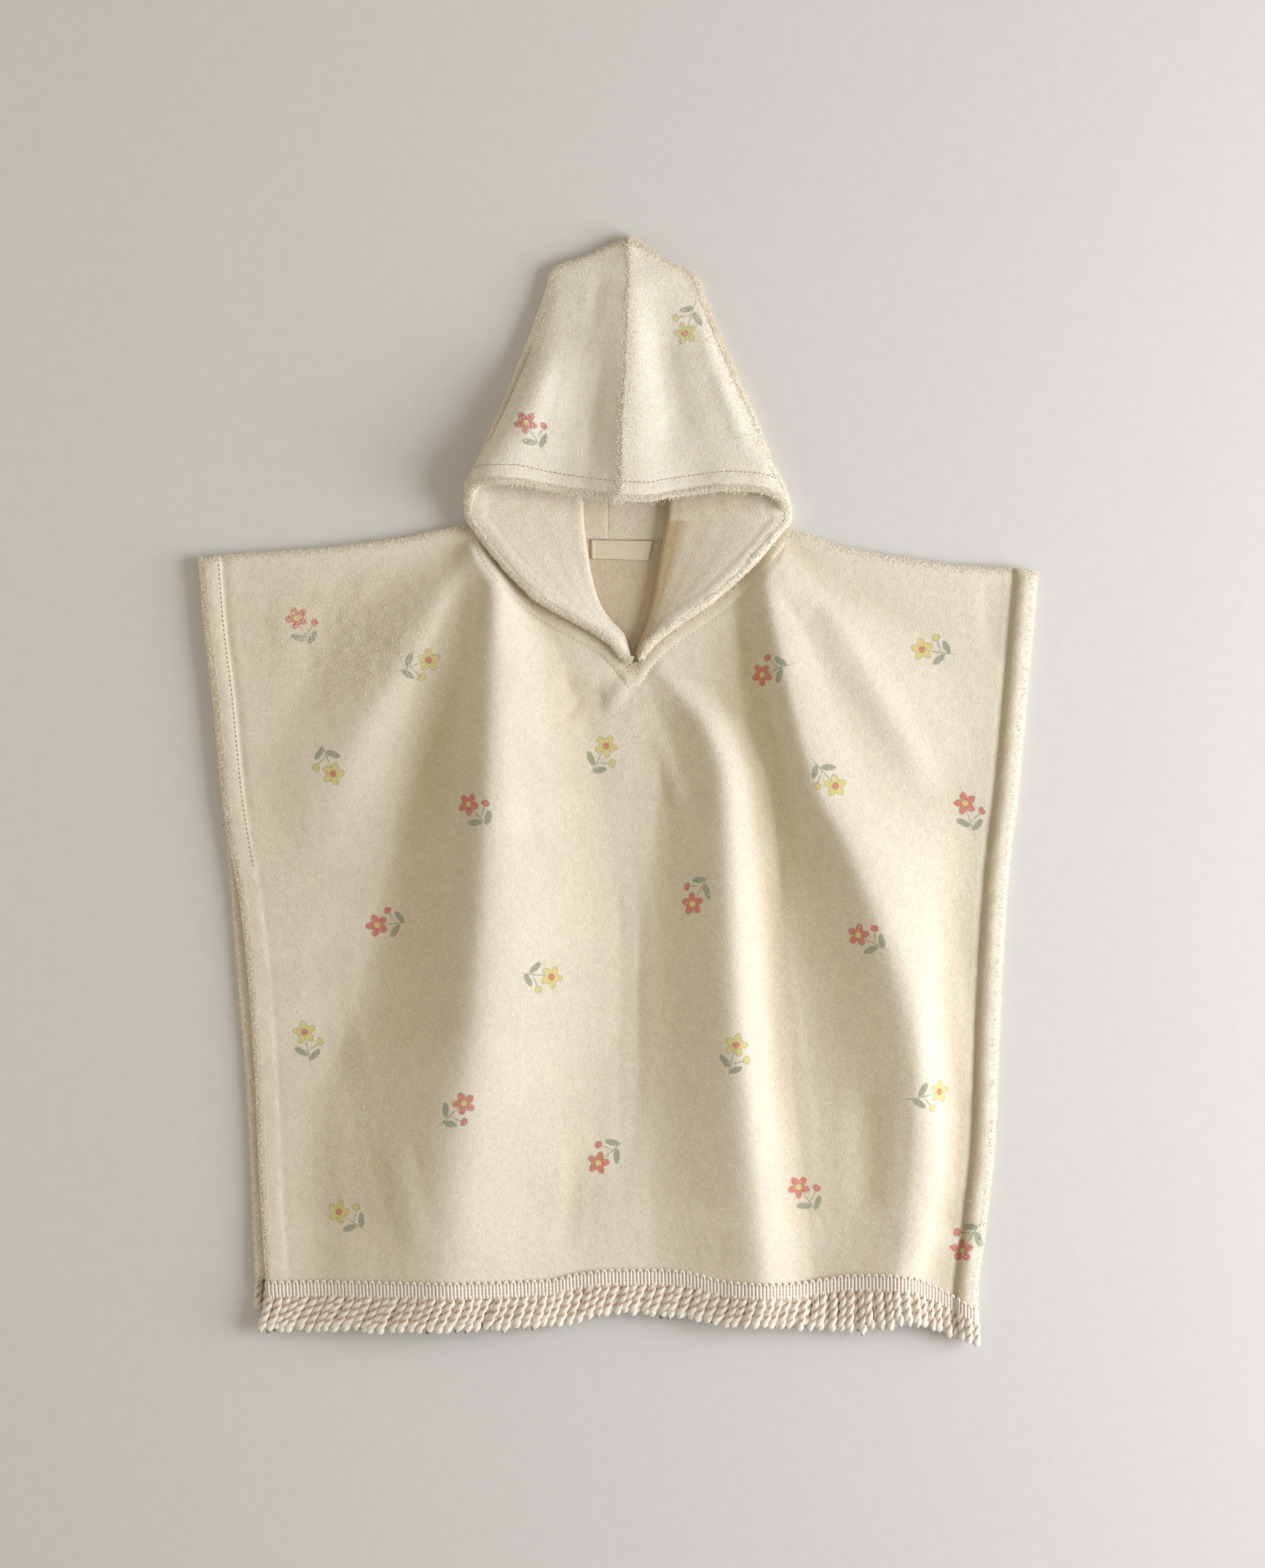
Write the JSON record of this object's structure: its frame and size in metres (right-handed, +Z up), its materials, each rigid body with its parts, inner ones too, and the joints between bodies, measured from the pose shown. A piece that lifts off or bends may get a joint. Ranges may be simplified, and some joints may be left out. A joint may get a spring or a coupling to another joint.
{
  "type": "hooded bath poncho",
  "caption": "Child's hooded bath poncho in looped cotton terry with a bullion fringe, laid flat with its front up and its hood open above the neck.",
  "frame": {"origin": "middle of the outline of the laid-out poncho, on the surface that it lies on", "axes": "+Z up off the surface, +Y from the hem towards the hood, +X towards the right of the picture (the wearer's left side)"},
  "size_m": [0.631, 0.8326, 0.0403],
  "materials": {
    "terry": "looped cotton terry, undyed ivory with a small printed flower pattern",
    "cotton": "twisted cotton bullion fringe",
    "label": "plain woven tape, bare"
  },
  "bodies": {
    "root": {"back": "terry", "front": "terry", "hood_left": "terry", "hood_right": "terry", "fringe_front": "cotton", "fringe_back": "cotton", "label": "label"}
  },
  "joints": []
}
